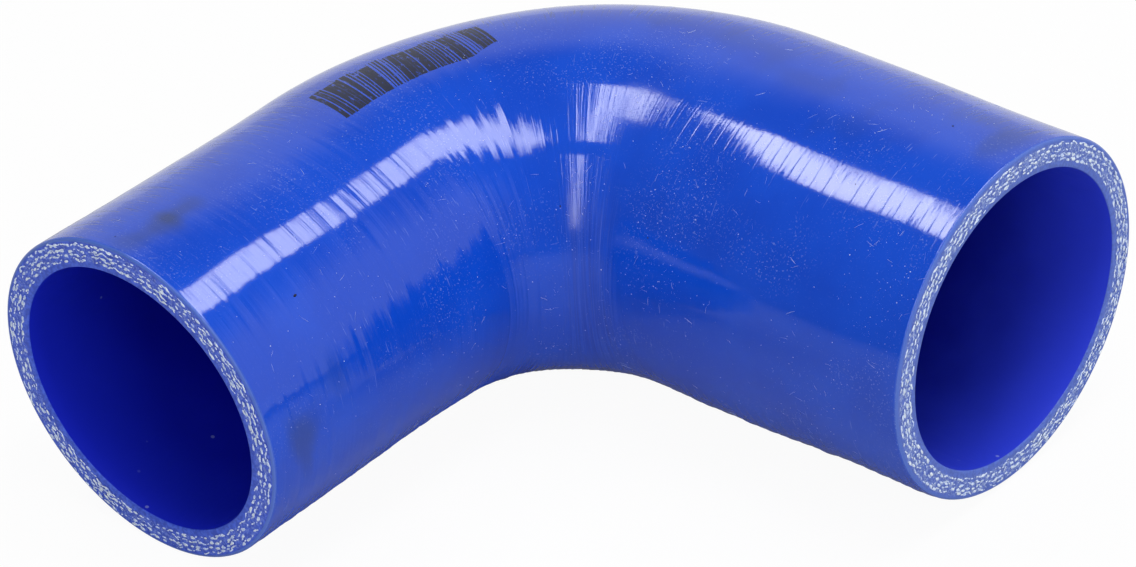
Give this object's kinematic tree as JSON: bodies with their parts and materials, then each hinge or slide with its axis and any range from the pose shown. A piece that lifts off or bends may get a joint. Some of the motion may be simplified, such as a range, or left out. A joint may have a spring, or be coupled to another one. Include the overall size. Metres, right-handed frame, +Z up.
{
  "type": "silicone elbow hose",
  "caption": "Right-angle reducing elbow hose in glossy blue silicone, with fabric plies showing in the wall at its square-cut open ends.",
  "frame": {"origin": "under the middle of the hose's box, on the surface that the hose lies on", "axes": "+X along the large leg, out of its end; the small leg runs towards -Y; +Z up, square to the bend but for a tilt of under 2 degrees that brings the thinner leg down to the surface"},
  "size_m": [0.1396, 0.144, 0.067],
  "materials": {
    "silicone": "glossy cured silicone with fine wound-tape marks"
  },
  "bodies": {
    "root": {"elbow_hose": "silicone"}
  },
  "joints": []
}
